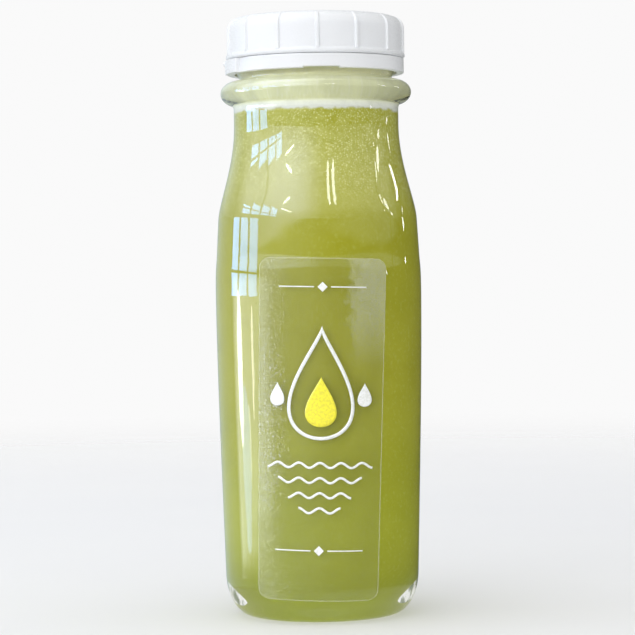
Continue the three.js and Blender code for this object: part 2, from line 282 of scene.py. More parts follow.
def spline(anchors, steps):
    """Points on an even Catmull-Rom curve through every anchor, with steps on each stretch."""
    p = np.array([anchors[0], *anchors, anchors[-1]], float)
    t = np.linspace(0, 1, steps, endpoint=False)[:, None]
    points = []
    for i in range(len(anchors) - 1):
        a, b, c, d = p[i:i + 4]
        bend = (2 * a - 5 * b + 4 * c - d) * t ** 2 + (3 * b - a - 3 * c + d) * t ** 3
        points += [tuple(point) for point in 0.5 * (2 * b + (c - a) * t + bend)]
    return points + [tuple(anchors[-1])]


def rounded(points, radius):
    """The same run of points with every inner corner rounded off."""
    p = [np.array(point, float) for point in points]
    out = [tuple(p[0])]
    for before, corner, after in zip(p, p[1:], p[2:]):
        back, on = before - corner, after - corner
        start = corner + back * min(radius / np.linalg.norm(back), 0.45)
        end = corner + on * min(radius / np.linalg.norm(on), 0.45)
        for t in np.linspace(0, 1, CORNER_STEPS + 1):
            out.append(tuple((1 - t) ** 2 * start + 2 * t * (1 - t) * corner + t ** 2 * end))
    return out + [tuple(p[-1])]


def split(start, end, step):
    """Points along a straight stretch, no further apart than step, without its end."""
    count = max(1, math.ceil(math.dist(start, end) / step))
    start, end = np.array(start, float), np.array(end, float)
    return [tuple(start + (end - start) * i / count) for i in range(count)]


def smooth(value, low, high):
    """0 below low, 1 above high, and an even rise between."""
    t = np.clip((value - low) / (high - low), 0, 1)
    return t * t * (3 - 2 * t)


# Meshes

def mesh_object(name, verts, faces):
    mesh = bpy.data.meshes.new(name)
    mesh.from_pydata([tuple(map(float, v)) for v in verts], [], [tuple(map(int, f)) for f in faces])
    mesh.validate()
    piece = bpy.data.objects.new(name, mesh)
    bpy.context.scene.collection.objects.link(piece)
    return piece


def turned(name, profile, angles, shape=None, closed=False):
    """A profile turned about the upright axis, with a column of points at each angle, in radians.

    shape may move the points: it takes their radii, heights and angles and gives new radii and heights.
    A closed profile makes a ring, and any other starts and ends on the axis.
    """
    profile = np.array(profile, float)
    radii, angle = np.meshgrid(profile[:, 0], angles, indexing="ij")
    heights = np.repeat(profile[:, 1:2], len(angles), axis=1)
    if shape is not None:
        radii, heights = shape(radii, heights, angle)
    grid = np.stack([radii * np.sin(angle), -radii * np.cos(angle), heights], axis=-1) * MM
    rows, columns = radii.shape
    verts = []
    index = np.zeros((rows, columns), int)
    for i in range(rows):
        if profile[i, 0] < ON_AXIS:
            index[i] = len(verts)
            verts.append((0, 0, heights[i, 0] * MM))
        else:
            index[i] = np.arange(len(verts), len(verts) + columns)
            verts.extend(map(tuple, grid[i]))
    faces = []
    for i in range(rows if closed else rows - 1):
        for j in range(columns):
            k = (j + 1) % columns
            up = (i + 1) % rows
            faces.append(list(dict.fromkeys([index[i, j], index[i, k], index[up, k], index[up, j]])))
    return mesh_object(name, verts, faces)


def shade(piece, sharp_angle):
    """Smooth shading, with edges sharper than an angle, in degrees, kept crisp."""
    piece.data.shade_smooth()
    piece.data.set_sharp_from_angle(angle=math.radians(sharp_angle))


def even_angles(count):
    return np.linspace(0, 2 * math.pi, count, endpoint=False)


def thicken(piece, thickness):
    """Gives a sheet its thickness, in millimetres, on the side that it faces."""
    modifier = piece.modifiers.new("thickness", "SOLIDIFY")
    modifier.thickness = thickness * MM
    modifier.offset = 1.0


def thread_ridge(heights, angle, thread):
    """How far a thread's ridges stand out of its root at each point."""
    proud = np.zeros_like(heights)
    half = thread["sweep"] / 2
    for start in range(THREAD_STARTS):
        turn = np.degrees(angle - math.pi / 2) - start * 360 / THREAD_STARTS
        turn = (turn + 180 - half) % 360 - 180 + half
        middle = thread["height"] + THREAD_LEAD * turn / 360
        ridge = np.sqrt(np.clip(thread["section"] ** 2 - (heights - middle) ** 2, 0, None))
        ends = smooth(turn, 0, THREAD_FADE) * smooth(thread["sweep"] - turn, 0, THREAD_FADE)
        proud = np.maximum(proud, ridge * ends)
    return proud


# The glass

def body_wall():
    """The outer wall from the top of the heel to the neck."""
    return [*spline(BODY_ANCHORS, 10), *bezier(SHOULDER_ANCHORS, 32)[1:]]


def outer_body():
    heel = arc((FOOT_RADIUS, HEEL_HEIGHT), HEEL_RADIUS - FOOT_RADIUS, HEEL_HEIGHT, -90, 0, 20)
    return [*heel[:-1], *body_wall()]


def inner_body(sink=0.0):
    """The inner wall from the middle of the floor to the neck, moved out into the glass by sink."""
    wide = HEEL_RADIUS - WALL - FLOOR_RADIUS
    tall = INNER_HEEL_HEIGHT - FLOOR_HEIGHT
    dome = [(r, FLOOR_HEIGHT - sink + FLOOR_RISE * (1 - (r / FLOOR_RADIUS) ** 2))
            for r in np.linspace(0, FLOOR_RADIUS, 9)]
    heel = arc((FLOOR_RADIUS, INNER_HEEL_HEIGHT), wide + sink, tall + sink, -90, 0, 16)
    wall = [(r - WALL + sink, z) for r, z in body_wall() if z > INNER_HEEL_HEIGHT + 1]
    return [*dome[:-1], *heel, *wall]


def body_radius(height):
    """The glass's outer radius at a height."""
    wall = np.array(outer_body())
    return np.interp(height, wall[:, 1], wall[:, 0])


def throat():
    """The bore's lower end, flaring down into the neck."""
    inner = NECK_RADIUS - WALL
    middle = (BORE_FOOT + INNER_NECK_HEIGHT) / 2
    anchors = [(BORE_RADIUS, BORE_FOOT), (BORE_RADIUS, middle),
               (inner, middle), (inner, INNER_NECK_HEIGHT)]
    return bezier(anchors, 12)


def glass_neck():
    """The transfer bead, the groove above it and the locking ring."""
    root = NECK_RADIUS - BEAD_FILLET
    foot = BEAD_HEIGHT - BEAD_HALF_HEIGHT
    bead = arc((root, BEAD_HEIGHT), BEAD_RADIUS - root, BEAD_HALF_HEIGHT, *BEAD_ARC, 26)
    fillet = bezier([(NECK_RADIUS, foot - 1.6), (NECK_RADIUS, foot - 0.4),
                     (NECK_RADIUS + 0.2, foot + 0.1), bead[0]], 6)
    above = [bead[-1], (GROOVE[0] + 0.2, GROOVE[1] - 0.6), GROOVE, COLLAR, (LOCK_RADIUS, LOCK_LOW),
             (LOCK_RADIUS, LOCK_HIGH), (FINISH_RADIUS, FINISH_FOOT), (FINISH_RADIUS, FINISH_FOOT + 1)]
    return [*fillet[:-1], *bead[:-1], *rounded(above, 0.5)]


def glass_lip():
    lip = LIP_HEIGHT - LIP_ROUND
    return [
        *split((FINISH_RADIUS, FINISH_FOOT + 1), (FINISH_RADIUS, lip), THREAD_STEP)[1:],
        *arc((FINISH_RADIUS - LIP_ROUND, lip), LIP_ROUND, LIP_ROUND, 0, 90, 8),
        *arc((BORE_RADIUS + LIP_ROUND, lip), LIP_ROUND, LIP_ROUND, 90, 180, 8),
        *throat(),
    ]


def make_glass():
    punt = [(r, PUNT_EDGE_HEIGHT + (PUNT_HEIGHT - PUNT_EDGE_HEIGHT) * (1 - (r / PUNT_RADIUS) ** 2))
            for r in np.linspace(0, PUNT_RADIUS, 9)]
    foot = rounded([punt[-1], (FOOT_RADIUS - FOOT_RING_WIDTH, 0), (FOOT_RADIUS, 0)], 0.8)[1:-1]
    profile = [*punt, *foot, *outer_body(), *glass_neck(), *glass_lip(), *inner_body()[::-1]]

    def threaded(radii, heights, angle):
        on_finish = (np.abs(radii - FINISH_RADIUS) < ON_WALL) & (heights > FINISH_FOOT)
        return radii + np.where(on_finish, thread_ridge(heights, angle, GLASS_THREAD), 0), heights

    piece = turned("bottle_glass", profile, even_angles(GLASS_COLUMNS), threaded)
    shade(piece, 60)
    return piece


# The juice and its foam

def make_juice():
    wall = inner_body(JUICE_SINK)
    edge = wall[-1][0]
    flat = edge - MENISCUS_WIDTH
    meniscus = bezier([(edge, JUICE_LEVEL + MENISCUS), (edge - 0.3, JUICE_LEVEL + 0.3),
                       (edge - 1, JUICE_LEVEL), (flat, JUICE_LEVEL)], 8)
    surface = [(r, JUICE_LEVEL) for r in np.linspace(flat, 0, 8)[1:]]
    piece = turned("juice_body", [*wall, *meniscus, *surface], even_angles(JUICE_COLUMNS))
    shade(piece, 70)
    return piece


def make_foam():
    """A thin coat on the neck's inner wall, from the juice up into the bore."""
    neck = (NECK_RADIUS - WALL, JUICE_LEVEL + MENISCUS - 0.1)
    bore = split((BORE_RADIUS, BORE_FOOT), (BORE_RADIUS, FOAM_TOP), 1)
    wall = [neck, *throat()[::-1], *bore[1:]]
    outside = [(r + FOAM_SINK, z) for r, z in wall]
    inside = [(r - FOAM_THICKNESS, z) for r, z in wall[::-1]]
    piece = turned("juice_foam", [*outside, *inside], even_angles(JUICE_COLUMNS), closed=True)
    shade(piece, 60)
    return piece


# The label

def on_label(u, v, lift):
    """Points of the film's flat outline, wrapped onto the glass, in metres."""
    tilt = math.radians(-LABEL_TILT)
    x = u * math.cos(tilt) - v * math.sin(tilt)
    z = LABEL_MIDDLE + u * math.sin(tilt) + v * math.cos(tilt)
    radius = body_radius(z) + LABEL_GAP + lift
    return np.stack([x, -np.sqrt(radius ** 2 - x ** 2), z], axis=-1) * MM


def label_half_width(v):
    """Half the film's width at a height from its middle, with the corners rounded."""
    share = (v + LABEL_HALF_HEIGHT) / (2 * LABEL_HALF_HEIGHT)
    width = (LABEL_FOOT_WIDTH + (LABEL_TOP_WIDTH - LABEL_FOOT_WIDTH) * share) / 2
    into = np.clip(np.abs(v) - (LABEL_HALF_HEIGHT - LABEL_CORNER), 0, LABEL_CORNER)
    return width - LABEL_CORNER + np.sqrt(LABEL_CORNER ** 2 - into ** 2)


def grid_faces(rows, columns):
    index = np.arange(rows * columns).reshape(rows, columns)
    quads = np.stack([index[:-1, :-1], index[:-1, 1:], index[1:, 1:], index[1:, :-1]], axis=-1)
    return quads.reshape(-1, 4)


def make_label():
    """The film, with the distance to its edge and the place across it kept for its material."""
    turn = LABEL_CORNER * (1 - np.cos(np.linspace(0, math.pi / 2, 13)))
    straight = np.linspace(-LABEL_HALF_HEIGHT + LABEL_CORNER, LABEL_HALF_HEIGHT - LABEL_CORNER, 90)[1:-1]
    rows = np.concatenate([-LABEL_HALF_HEIGHT + turn, straight, (LABEL_HALF_HEIGHT - turn)[::-1]])
    border = np.array([0, 0.12, 0.25, 0.4, 0.8])
    inner = np.linspace(1.4, LABEL_TOP_WIDTH / 2, 28)
    from_edge = np.concatenate([border, inner]) / (LABEL_TOP_WIDTH / 2)
    columns = np.concatenate([from_edge - 1, (1 - from_edge)[::-1][1:]])
    v, share = np.meshgrid(rows, columns, indexing="ij")
    half = label_half_width(v)
    verts = on_label(share * half, v, 0.0).reshape(-1, 3)
    piece = mesh_object("label_film", verts, grid_faces(*v.shape))
    edge = np.minimum((1 - np.abs(share)) * half, LABEL_HALF_HEIGHT - np.abs(v))
    for name, values in (("edge", edge), ("across", share)):
        attribute = piece.data.attributes.new(name, "FLOAT", "POINT")
        attribute.data.foreach_set("value", values.reshape(-1).astype(np.float32))
    thicken(piece, LABEL_FILM)
    piece.data.shade_smooth()
    return piece


# The print on the label: patches are grids of (u, v) points that start at the lower left

def drop_outline(middle, height, width, across=0.0):
    """A drop's outline, clockwise from its tip."""
    t = np.linspace(0, 2 * math.pi, DROP_POINTS + 1)
    bulge = np.sin(t) * np.sin(t / 2) ** 1.5
    u = width / 2 * bulge / bulge.max()
    return np.stack([across + u, middle + height / 2 * np.cos(t)], axis=-1)


def band_between(outer, inner):
    """A patch from an outline to one inside it."""
    return np.stack([outer, inner])[::-1]


def filled(outline, middle, across=0.0):
    """A patch that fills an outline from its middle."""
    shares = np.linspace(0, 1, FILL_RINGS)[:, None, None]
    centre = np.array([across, middle])
    return centre + (outline - centre)[None] * shares


def ribbon(path, line):
    """A patch of even width along a path that runs to the right."""
    along = np.gradient(path, axis=0)
    along /= np.linalg.norm(along, axis=1)[:, None]
    side = np.stack([-along[:, 1], along[:, 0]], axis=-1) * line / 2
    return np.stack([path - side, path + side])


def ripple(height, length):
    u = np.linspace(-length / 2, length / 2, 80)
    v = height + RIPPLE_RISE * np.cos(2 * math.pi * u / RIPPLE_WAVE)
    return ribbon(np.stack([u, v], axis=-1), RIPPLE_LINE)


def rule(height, length):
    """A straight line with a gap at its middle, and a diamond in the gap."""
    patches = []
    for side in (-1, 1):
        ends = sorted([side * RULE_GAP / 2, side * length / 2])
        u = np.linspace(*ends, 16)
        patches.append(ribbon(np.stack([u, np.full_like(u, height)], axis=-1), RULE_LINE))
    corners = np.array([[0, -DIAMOND], [-DIAMOND, 0], [0, DIAMOND], [DIAMOND, 0], [0, -DIAMOND]])
    patches.append(filled(corners + [0, height], height))
    return patches


def make_print():
    """A drop over ripples between two rules: white ink, with a yellow core in the drop."""
    line = DROP["line"]
    outer = drop_outline(DROP["middle"], DROP["height"], DROP["width"])
    inner = drop_outline(DROP["middle"] - line * 0.6, DROP["height"] - line * 3.2,
                         DROP["width"] - line * 2)
    white = [band_between(outer, inner), *(ripple(**row) for row in RIPPLES)]
    for row in RULES:
        white += rule(**row)
    for small in DROPLETS:
        outline = drop_outline(**small)
        white.append(filled(outline, small["middle"] - small["height"] / 6, small["across"]))
    yellow = [filled(drop_outline(**CORE), CORE["middle"])]
    verts, faces, inks = [], [], []
    for ink, patches in enumerate((white, yellow)):
        for patch in patches:
            quads = grid_faces(*patch.shape[:2]) + len(verts)
            verts.extend(on_label(patch[..., 0], patch[..., 1], INK_LIFT).reshape(-1, 3))
            faces.extend(quads)
            inks.extend([ink] * len(quads))
    piece = mesh_object("label_print", verts, faces)
    piece.data.polygons.foreach_set("material_index", inks)
    weld(piece)
    face_outwards(piece)
    thicken(piece, INK_THICKNESS)
    piece.data.shade_smooth()
    return piece


def weld(piece):
    """Joins the points of a mesh that lie on each other."""
    edit = bmesh.new()
    edit.from_mesh(piece.data)
    bmesh.ops.remove_doubles(edit, verts=edit.verts, dist=WELD * MM)
    edit.to_mesh(piece.data)
    edit.free()


def face_outwards(piece):
    """Turns every face of a sheet on the front away from the bottle's axis."""
    for face in piece.data.polygons:
        if face.normal.y > 0:
            face.flip()
    piece.data.update()


# The cap

def cap_angles():
    """Columns for the cap, close together on the ribs."""
    fine = np.linspace(-RIB_FINE, RIB_FINE, 15) / CAP_RADIUS
    pitch = 2 * math.pi / RIBS
    coarse = np.linspace(fine[-1], pitch + fine[0], 12)[1:-1]
    first = math.radians(RIB_FIRST_ANGLE)
    return np.concatenate([first + pitch * rib + np.concatenate([fine, coarse]) for rib in range(RIBS)])


def rib_rise(angle):
    """0 on the panels and 1 on the ribs."""
    pitch = 2 * math.pi / RIBS
    off = (angle - math.radians(RIB_FIRST_ANGLE) + pitch / 2) % pitch - pitch / 2
    return 1 - smooth(np.abs(off) * CAP_RADIUS, RIB_WIDTH * RIB_CREST, RIB_WIDTH * RIB_FOOT)


def make_cap():
    ceiling = CAP_HEIGHT - CAP_TOP_THICKNESS
    corner = (CAP_RADIUS - CAP_CORNER, CAP_HEIGHT - CAP_CORNER)
    wall_top = ceiling - CAP_INNER_CORNER
    inner = [(0, ceiling), (CAP_INNER_RADIUS - CAP_INNER_CORNER, ceiling)]
    inner_wall = split((CAP_INNER_RADIUS, wall_top), (CAP_INNER_RADIUS, CAP_LIP_LOW + 0.4), THREAD_STEP)
    skirt = rounded([(CAP_INNER_RADIUS, CAP_LIP_LOW + 0.4), (CAP_INNER_RADIUS, CAP_LIP_LOW),
                     (CAP_LIP_RADIUS, CAP_LIP_LOW), (CAP_LIP_RADIUS, FLANGE_UNDERCUT[1]),
                     FLANGE_UNDERCUT, (FLANGE_RADIUS, FLANGE_LOW), (FLANGE_RADIUS, FLANGE_HIGH),
                     (CAP_RADIUS, FLANGE_HIGH + 0.35), (CAP_RADIUS, FLANGE_HIGH + 1)], 0.25)
    side = split((CAP_RADIUS, FLANGE_HIGH + 1), (CAP_RADIUS, corner[1]), 0.6)[1:]
    shoulder = arc(corner, CAP_CORNER, CAP_CORNER, 0, 90, 18)
    top = [(r, CAP_HEIGHT) for r in np.linspace(corner[0], GATE_RADIUS + 1, 10)[1:]]
    gate = rounded([top[-1], (GATE_RADIUS, CAP_HEIGHT), (GATE_RADIUS - 0.4, CAP_HEIGHT - GATE_DEPTH),
                    (GATE_NUB_RADIUS + 0.1, CAP_HEIGHT - GATE_DEPTH),
                    (GATE_NUB_RADIUS, CAP_HEIGHT - 0.1), (0, CAP_HEIGHT - 0.1)], 0.12)[1:]
    profile = [*inner, *inner_wall, *skirt, *side, *shoulder, *top, *gate]

    def shaped(radii, heights, angle):
        inside = np.abs(radii - CAP_INNER_RADIUS) < ON_WALL
        threaded = radii - np.where(inside, thread_ridge(heights, angle, CAP_THREAD), 0)
        up = np.clip((heights - corner[1]) / CAP_CORNER, 0, 1)
        level = np.sqrt(1 - up ** 2)
        on_rib = (radii > corner[0] - ON_WALL) & ~inside
        foot = smooth(heights, FLANGE_HIGH - 0.05, FLANGE_HIGH + 0.35)
        proud = RIB_PROUD * rib_rise(angle) * foot * level ** RIB_FADE * on_rib
        return threaded + proud * level, heights + proud * up * level * RIB_LIFT

    piece = turned("cap_body", profile, cap_angles(), shaped)
    shade(piece, 40)
    return piece


def make_liner():
    top = LINER_LOW + LINER_THICKNESS
    edge = rounded([(LINER_RADIUS - 1, LINER_LOW), (LINER_RADIUS, LINER_LOW), (LINER_RADIUS, top),
                    (LINER_RADIUS - 1, top)], 0.2)
    piece = turned("liner_disc", [(0, LINER_LOW), *edge, (0, top)], even_angles(LINER_COLUMNS))
    shade(piece, 50)
    return piece


# The tear band

def angle_window(angle, start, end, edge):
    """1 between two angles in degrees, with edges that many degrees wide."""
    off = (np.degrees(angle) + 180) % 360 - 180
    started = smooth(off, start - edge / 2, start + edge / 2)
    ended = smooth(off, end - edge / 2, end + edge / 2)
    return started * (1 - ended)


def make_band():
    base = rounded([(HOOK_RADIUS, BAND_LOW), (BAND_RADIUS, BAND_LOW),
                    (BAND_RADIUS, BAND_LOW + 1)], 0.3)[:-1]
    side = split(base[-1], (BAND_RADIUS, BAND_HIGH - 1), 0.4)[1:]
    brim = rounded([(BAND_RADIUS, BAND_HIGH - 1), (BAND_RADIUS, BAND_HIGH),
                    (BAND_INNER_RADIUS, BAND_HIGH), (BAND_INNER_RADIUS, BAND_LOW + HOOK_HEIGHT),
                    (HOOK_RADIUS, BAND_LOW + HOOK_EDGE), (HOOK_RADIUS, BAND_LOW)], 0.3)[:-1]

    def shaped(radii, heights, angle):
        outside = smooth(radii, BAND_RADIUS - 0.35, BAND_RADIUS - 0.1)
        tab = angle_window(angle, TAB["from"], TAB["to"], TAB_EDGE) * TAB["proud"]
        recess = angle_window(angle, TAB_RECESS["from"], TAB_RECESS["to"], TAB_EDGE) * TAB_RECESS["depth"]
        notch = angle_window(angle, NOTCH["from"], NOTCH["to"], NOTCH_EDGE) * NOTCH["height"]
        low = 1 - smooth(heights, BAND_LOW + 0.3, BAND_LOW + 1.0)
        return radii + outside * (tab - recess), heights + notch * low

    piece = turned("tear_ring", [*base, *side, *brim], even_angles(BAND_COLUMNS), shaped, closed=True)
    join_nib(piece)
    shade(piece, 40)
    return piece


def join_nib(piece):
    """Adds the small rounded nib at the tab's far end."""
    edit = bmesh.new()
    edit.from_mesh(piece.data)
    size = Matrix.Diagonal((NIB["width"] / 2, NIB["reach"], NIB["tall"], 1))
    out = Matrix.Translation((0, 0.5 - NIB["radius"], NIB["height"]))
    place = Matrix.Scale(MM, 4) @ Matrix.Rotation(math.radians(NIB["angle"]), 4, "Z") @ out @ size
    bmesh.ops.create_uvsphere(edit, u_segments=24, v_segments=16, radius=1, matrix=place)
    edit.to_mesh(piece.data)
    edit.free()


# Materials

class Nodes:
    """A short way to build a node tree."""

    def __init__(self, tree, output):
        self.tree = tree
        self.tree.nodes.clear()
        self.output = self.tree.nodes.new(output)

    def add(self, kind, inputs=(), **settings):
        node = self.tree.nodes.new(kind)
        for key, value in settings.items():
            setattr(node, key, value)
        for socket, value in dict(inputs).items():
            self.set(node.inputs[socket], value)
        return node

    def set(self, socket, value):
        if isinstance(value, bpy.types.NodeSocket):
            self.tree.links.new(value, socket)
        elif socket.type == "RGBA":
            socket.default_value = (*value[:3], 1)
        else:
            socket.default_value = value

    def place(self):
        return self.add("ShaderNodeTexCoord").outputs["Object"]

    def axes(self, vector):
        return self.add("ShaderNodeSeparateXYZ", {"Vector": vector}).outputs

    def noise(self, scale, detail, roughness=0.5):
        inputs = {"Vector": self.place(), "Scale": scale, "Detail": detail, "Roughness": roughness}
        return self.add("ShaderNodeTexNoise", inputs).outputs["Fac"]

    def bubbles(self, scale, share):
        """Soft round spots, in that share of the cells of a random pattern."""
        cells = self.add("ShaderNodeTexVoronoi", {"Vector": self.place(), "Scale": scale}).outputs
        chance = self.axes(cells["Color"])["X"]
        spot = self.range(cells["Distance"], 0.12, 0.45, 1.0, 0.0)
        return self.math("MULTIPLY", spot, self.math("LESS_THAN", chance, share))

    def attribute(self, name):
        return self.add("ShaderNodeAttribute", attribute_name=name).outputs["Fac"]

    def range(self, value, low, high, out_low=0.0, out_high=1.0):
        inputs = {"Value": value, "From Min": low, "From Max": high,
                  "To Min": out_low, "To Max": out_high}
        return self.add("ShaderNodeMapRange", inputs, interpolation_type="SMOOTHSTEP").outputs["Result"]

    def math(self, operation, a, b=0.0):
        return self.add("ShaderNodeMath", {0: a, 1: b}, operation=operation).outputs["Value"]

    def mix(self, factor, a, b):
        node = self.add("ShaderNodeMix", data_type="RGBA")
        colours = [socket for socket in node.inputs if socket.type == "RGBA"]
        self.set(node.inputs[0], factor)
        self.set(colours[0], a)
        self.set(colours[1], b)
        return next(socket for socket in node.outputs if socket.type == "RGBA")

    def bump(self, height, distance, strength):
        inputs = {"Height": height, "Distance": distance, "Strength": strength}
        return self.add("ShaderNodeBump", inputs).outputs["Normal"]

    def mix_shader(self, factor, a, b):
        return self.add("ShaderNodeMixShader", {0: factor, 1: a, 2: b}).outputs[0]

    def clear(self, colour):
        return self.add("ShaderNodeBsdfTransparent", {"Color": colour}).outputs[0]

    def principled(self, inputs):
        return self.add("ShaderNodeBsdfPrincipled", inputs).outputs["BSDF"]

    def finish(self, surface):
        self.tree.links.new(surface, self.output.inputs["Surface"])


def new_material(name):
    material = bpy.data.materials.new(name)
    material.use_nodes = True
    return material, Nodes(material.node_tree, "ShaderNodeOutputMaterial")


def glass_material():
    """Clear glass with faint waves, that lets lamps through to the juice."""
    material, nodes = new_material("clear_bottle_glass")
    waves = nodes.bump(nodes.noise(45.0, 2.0), 0.0003, 0.3)
    glass = nodes.principled({"Base Color": (0.97, 0.977, 0.965), "Roughness": 0.0, "IOR": 1.5,
                              "Transmission Weight": 1.0, "Normal": waves})
    path = nodes.add("ShaderNodeLightPath").outputs
    lamp = nodes.math("MAXIMUM", path["Is Shadow Ray"], path["Is Diffuse Ray"])
    nodes.finish(nodes.mix_shader(lamp, glass, nodes.clear((0.96, 0.965, 0.95))))
    return material


def juice_material():
    """Cloudy juice: greener low down, with froth in the neck and a pale head at the top of it."""
    material, nodes = new_material("cloudy_green_juice")
    height = nodes.axes(nodes.place())["Z"]
    cloud = nodes.range(nodes.noise(38.0, 4.0, 0.6), 0.3, 0.7)
    upper = nodes.mix(cloud, (0.345, 0.345, 0.022), (0.385, 0.383, 0.035))
    lower = nodes.mix(cloud, (0.352, 0.379, 0.029), (0.387, 0.412, 0.042))
    base = nodes.mix(nodes.range(height, 0.02, 0.08), lower, upper)
    pulp = nodes.range(nodes.noise(900.0, 3.0, 0.6), 0.5, 0.78, 0.0, 0.25)
    base = nodes.mix(pulp, base, (0.54, 0.56, 0.16))
    in_neck = nodes.range(height, *FROTH_RISE)
    mottle = nodes.range(nodes.noise(420.0, 5.0, 0.7), 0.3, 0.7, 0.08, 0.5)
    base = nodes.mix(nodes.math("MULTIPLY", mottle, in_neck), base, (0.56, 0.57, 0.17))
    for scale, share in FROTH:
        bubbles = nodes.math("MULTIPLY", nodes.bubbles(scale, share), in_neck)
        base = nodes.mix(nodes.math("MULTIPLY", bubbles, 0.75), base, (0.8, 0.82, 0.44))
    ragged = nodes.math("ADD", height, nodes.range(nodes.noise(330.0, 3.0), 0.3, 0.7, -0.0004, 0.0004))
    base = nodes.mix(nodes.range(ragged, *HEAD_RISE), base, (0.82, 0.86, 0.72))
    nodes.finish(nodes.principled({"Base Color": base, "Roughness": 0.5, "IOR": 1.34,
                                   "Specular IOR Level": 0.1, "Subsurface Weight": 0.3,
                                   "Subsurface Radius": (0.5, 0.55, 0.15), "Subsurface Scale": 0.006}))
    return material


def foam_material():
    """A pale film of froth: white and close at the juice, greener and thinner higher up, and painted
    brighter just under the tear band, against the band's shade.
    """
    material, nodes = new_material("pale_juice_foam")
    height = nodes.axes(nodes.place())["Z"]
    base = nodes.mix(nodes.range(height, 0.1555, 0.1595), (0.86, 0.89, 0.78), (0.82, 0.845, 0.52))
    # Painted light: the foam is made brighter from 162 to 166 mm, where the tear band shades it.
    base = nodes.mix(nodes.range(height, 0.162, 0.166), base, (0.95, 0.95, 0.52))
    specks = nodes.range(nodes.noise(1400.0, 2.0), 0.45, 0.75, 0.0, 0.4)
    base = nodes.mix(specks, base, (0.92, 0.93, 0.78))
    cover = nodes.range(nodes.noise(160.0, 4.0, 0.6), 0.25, 0.7, 0.84, 1.0)
    froth = nodes.principled({"Base Color": base, "Roughness": 0.5})
    nodes.finish(nodes.mix_shader(cover, nodes.clear((0.9, 0.92, 0.8)), froth))
    return material


def film_material():
    """Clear film: a patchy haze high on the right, a faint cut edge and bubbles along the left side."""
    material, nodes = new_material("clear_label_film")
    across = nodes.attribute("across")
    height = nodes.axes(nodes.place())["Z"]
    wander = nodes.math("ADD", across, nodes.range(nodes.noise(420.0, 4.0, 0.6), 0.25, 0.75, -0.1, 0.1))
    loose = nodes.math("SUBTRACT", wander, nodes.range(height, 0.01, 0.03, 0.15, 0.0))
    rim = nodes.range(across, -1.0, -0.45, 0.07, 0.015)
    right = nodes.range(wander, 0.3, 0.62, 0.0, 0.15)
    right = nodes.math("MULTIPLY", right, nodes.range(height, 0.07, 0.1))
    haze = nodes.math("MAXIMUM", rim, right)
    haze = nodes.math("MULTIPLY", haze, nodes.range(nodes.noise(1300.0, 3.0, 0.7), 0.25, 0.75, 0.6, 1.4))
    edge = nodes.range(nodes.attribute("edge"), 0.1, 0.35, 0.2, 0.0)
    bubbles = nodes.math("MAXIMUM", nodes.bubbles(1200.0, 0.45), nodes.bubbles(2000.0, 0.5))
    bubbles = nodes.math("MULTIPLY", bubbles, nodes.range(loose, -0.85, -0.45, 0.62, 0.0))
    bubbles = nodes.math("MULTIPLY", bubbles, nodes.range(height, 0.03, 0.046, 0.3, 1.0))
    bubbles = nodes.math("MULTIPLY", bubbles, nodes.range(height, 0.074, 0.09, 1.0, 0.4))
    cover = nodes.math("MAXIMUM", nodes.math("MAXIMUM", haze, edge), bubbles)
    white = nodes.principled({"Base Color": (0.86, 0.89, 0.74), "Roughness": 0.3})
    nodes.finish(nodes.mix_shader(cover, nodes.clear((0.96, 0.962, 0.965)), white))
    return material


def ink_material(name, thin, full):
    """Printed ink that covers a little unevenly."""
    material, nodes = new_material(name)
    base = nodes.mix(nodes.range(nodes.noise(1500.0, 2.0), 0.35, 0.6), thin, full)
    nodes.finish(nodes.principled({"Base Color": base, "Roughness": 0.4}))
    return material


def plastic_material():
    """White moulded plastic with a fine grain."""
    material, nodes = new_material("white_cap_plastic")
    flow = nodes.range(nodes.noise(60.0, 3.0), 0.3, 0.7)
    base = nodes.mix(flow, (0.775, 0.79, 0.815), (0.79, 0.803, 0.826))
    grain = nodes.noise(2600.0, 2.0)
    roughness = nodes.range(grain, 0.3, 0.7, 0.26, 0.32)
    bumps = nodes.bump(grain, 0.00002, 0.5)
    nodes.finish(nodes.principled({"Base Color": base, "Roughness": roughness, "IOR": 1.5,
                                   "Specular IOR Level": 0.16, "Subsurface Weight": 0.2,
                                   "Subsurface Radius": (1, 1, 1), "Subsurface Scale": 0.0015,
                                   "Normal": bumps}))
    return material


def liner_material():
    """Foamed plastic with fine cells."""
    material, nodes = new_material("foam_seal")
    cells = nodes.noise(3200.0, 2.0)
    base = nodes.mix(nodes.range(cells, 0.3, 0.7), (0.74, 0.74, 0.7), (0.82, 0.82, 0.78))
    bumps = nodes.bump(cells, 0.00005, 0.6)
    nodes.finish(nodes.principled({"Base Color": base, "Roughness": 0.6, "Normal": bumps}))
    return material


def floor_material():
    """A pale matt floor that fades into the white round it, with a painted glow under the glass where
    light would gather.
    """
    material, nodes = new_material("pale_floor")
    base = nodes.mix(nodes.range(nodes.noise(6.0, 3.0), 0.3, 0.7), (0.8, 0.8, 0.8), (0.815, 0.815, 0.81))
    distance = nodes.add("ShaderNodeVectorMath", {0: nodes.place()}, operation="LENGTH").outputs["Value"]
    # Painted light: a faint pale green glow on the floor round the glass's foot, where light through the
    # glass would gather.
    painted_glow = nodes.range(distance, 0.012, 0.026, 0.45, 0.0)
    matt = nodes.principled({"Base Color": base, "Roughness": 0.7, "Emission Color": (0.85, 0.95, 0.62),
                             "Emission Strength": painted_glow})
    mirrored = nodes.add("ShaderNodeLightPath").outputs["Is Glossy Ray"]
    mirrored = nodes.math("MULTIPLY", mirrored, nodes.range(distance, 0.045, 0.065))
    fade = nodes.math("MAXIMUM", nodes.range(distance, 0.25, 1.1), mirrored)
    nodes.finish(nodes.mix_shader(fade, matt, nodes.clear((1.0, 1.0, 1.0))))
    return material


# Stage

